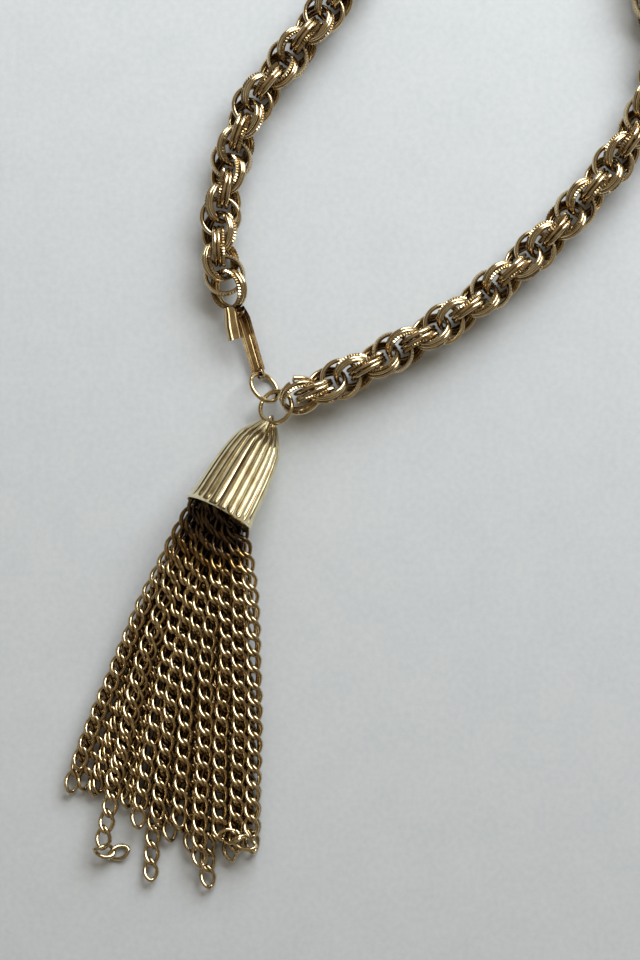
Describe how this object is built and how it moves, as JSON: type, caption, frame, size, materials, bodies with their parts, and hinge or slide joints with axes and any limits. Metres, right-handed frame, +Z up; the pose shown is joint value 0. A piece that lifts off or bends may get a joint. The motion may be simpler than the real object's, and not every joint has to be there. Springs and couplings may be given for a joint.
{
  "type": "tassel_necklace",
  "caption": "Gold-tone rope-chain necklace lying in a closed loop, with a hook clasp on jump rings, a fluted bell cap and a fan of fine chains as tassel",
  "frame": {"origin": "on the surface it lies on, under the middle of the centre ring that joins the chain, the clasp ring and the tassel", "axes": "+Y from the tassel towards the far end of the loop, +X to the right, +Z up from the surface; the tassel lies towards -Y"},
  "size_m": [0.1306, 0.2722, 0.0154],
  "materials": {
    "antique_gold": "worn gold-tone plating, polished, darkened in the recesses",
    "aged_brass": "satin, slightly tarnished",
    "pale_gold": "bright polished plating",
    "dull_bronze": "polished wire, darkened between the links"
  },
  "bodies": {
    "root": {"rope_chain": "antique_gold", "hook_clasp": "pale_gold", "clasp_ring": "aged_brass", "centre_ring": "aged_brass", "cap_loop": "aged_brass", "bell_cap": "pale_gold", "tassel": "dull_bronze"}
  },
  "joints": []
}
